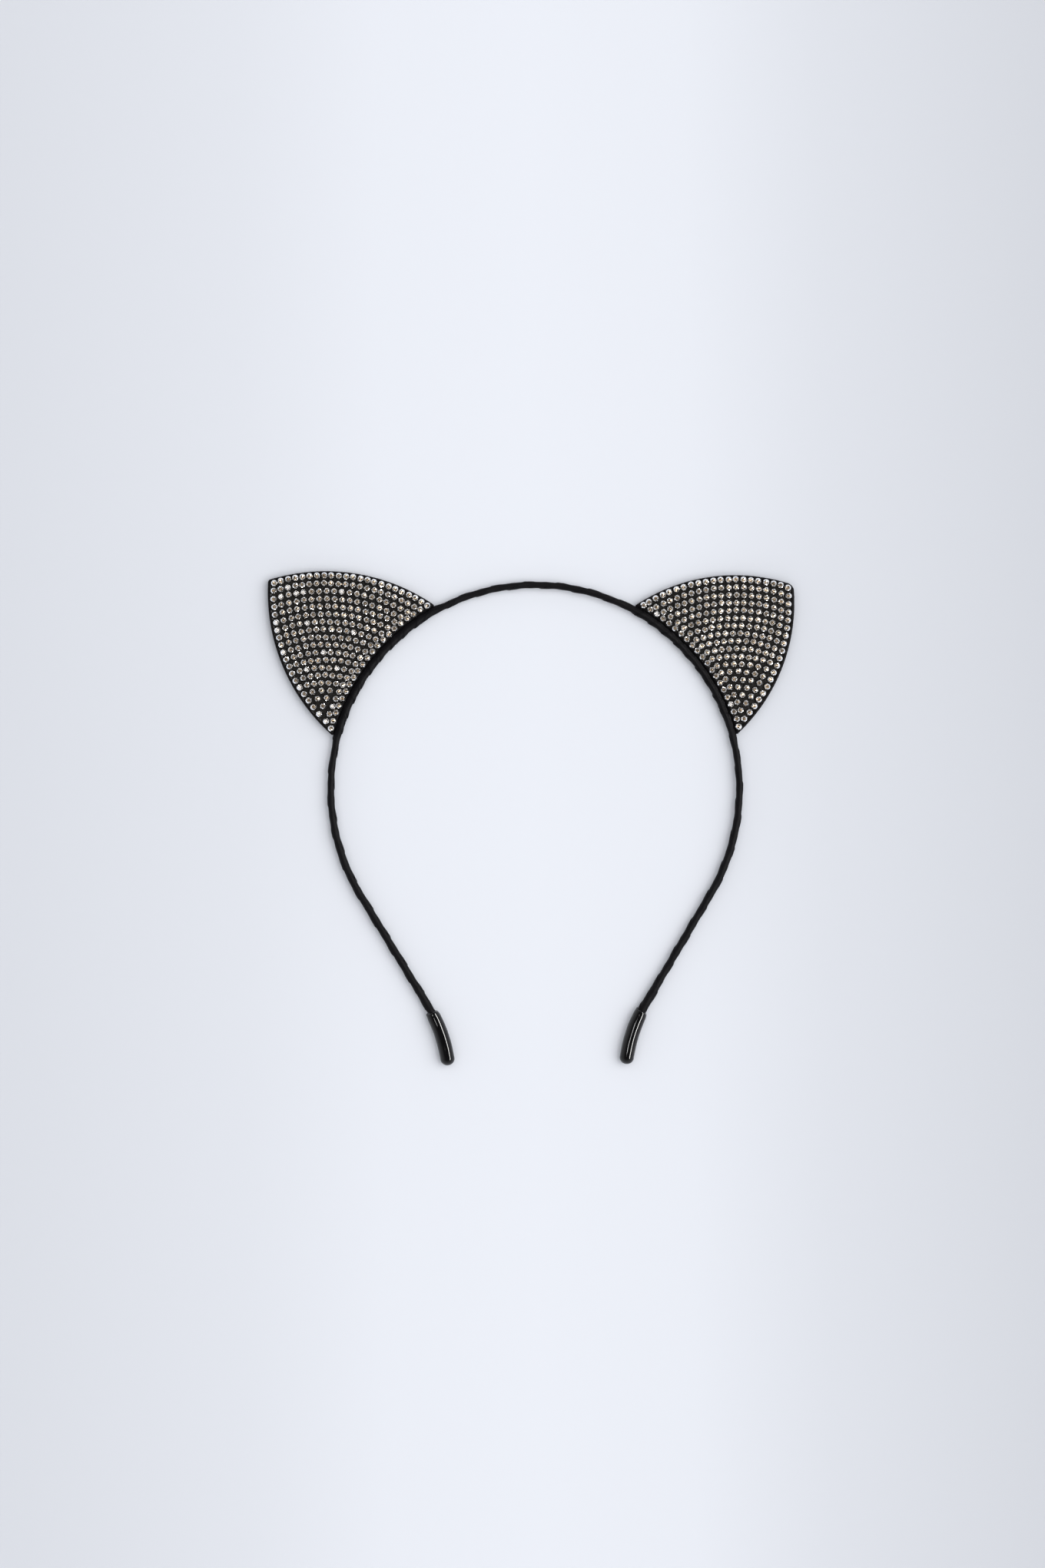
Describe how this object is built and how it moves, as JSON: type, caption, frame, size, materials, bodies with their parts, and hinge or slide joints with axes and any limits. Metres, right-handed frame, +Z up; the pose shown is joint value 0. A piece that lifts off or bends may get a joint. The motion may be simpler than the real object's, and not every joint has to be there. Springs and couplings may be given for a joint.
{
  "type": "cat ear headband",
  "caption": "Slim ribbon-wrapped spring headband with two pointed, crystal-covered cat ears that tilt, and glossy caps on the tips.",
  "frame": {"origin": "centre of the crown arc, on the table that the headband lies on", "axes": "+Z up, the side the crystals are on; +Y from the chin to the crown; +X to the right as the crystals are looked at"},
  "size_m": [0.1714, 0.1612, 0.0044],
  "materials": {
    "core_wire": "spring steel wire",
    "frame_wire": "thin black coating on soft steel wire",
    "ribbon": "black satin ribbon with fine cross ribs",
    "vinyl_cap": "glossy dipped black vinyl",
    "felt": "black felt",
    "foam": "soft closed-cell foam",
    "mesh": "black resin-coated mesh",
    "edge_tape": "black woven tape",
    "crystal": "foil-backed cut glass"
  },
  "bodies": {
    "crown": {"crown_core_wire": "core_wire", "crown_ribbon": "ribbon"},
    "left_arm": {"left_core_wire": "core_wire", "left_shoulder_ribbon": "ribbon", "left_ear_binding": "ribbon", "left_arm_ribbon": "ribbon", "left_end_cap": "vinyl_cap"},
    "right_arm": {"right_core_wire": "core_wire", "right_shoulder_ribbon": "ribbon", "right_ear_binding": "ribbon", "right_arm_ribbon": "ribbon", "right_end_cap": "vinyl_cap"},
    "left_ear": {"left_ear_frame_wire": "frame_wire", "left_ear_felt_back": "felt", "left_ear_foam_core": "foam", "left_ear_mesh_front": "mesh", "left_ear_edge_tape": "edge_tape", "left_ear_crystals": "crystal"},
    "right_ear": {"right_ear_frame_wire": "frame_wire", "right_ear_felt_back": "felt", "right_ear_foam_core": "foam", "right_ear_mesh_front": "mesh", "right_ear_edge_tape": "edge_tape", "right_ear_crystals": "crystal"}
  },
  "joints": [
    {"name": "left_arm_flex", "type": "hinge", "parent": "crown", "child": "left_arm", "pos_m": [-0.02092, 0.06439, 0.0022], "axis": [0, 0, -1], "range_deg": [0, 14], "stiffness_Nm_per_rad": 0.43},
    {"name": "right_arm_flex", "type": "hinge", "parent": "crown", "child": "right_arm", "pos_m": [0.02092, 0.06439, 0.0022], "axis": [0, 0, 1], "range_deg": [0, 14], "stiffness_Nm_per_rad": 0.43},
    {"name": "left_ear_tilt", "type": "hinge", "parent": "left_arm", "child": "left_ear", "pos_m": [-0.049, 0.039, 0.0022], "axis": [0.6225, 0.7826, 0], "range_deg": [-15, 15]},
    {"name": "right_ear_tilt", "type": "hinge", "parent": "right_arm", "child": "right_ear", "pos_m": [0.0495, 0.0385, 0.0022], "axis": [0.6143, -0.7891, 0], "range_deg": [-15, 15]}
  ]
}
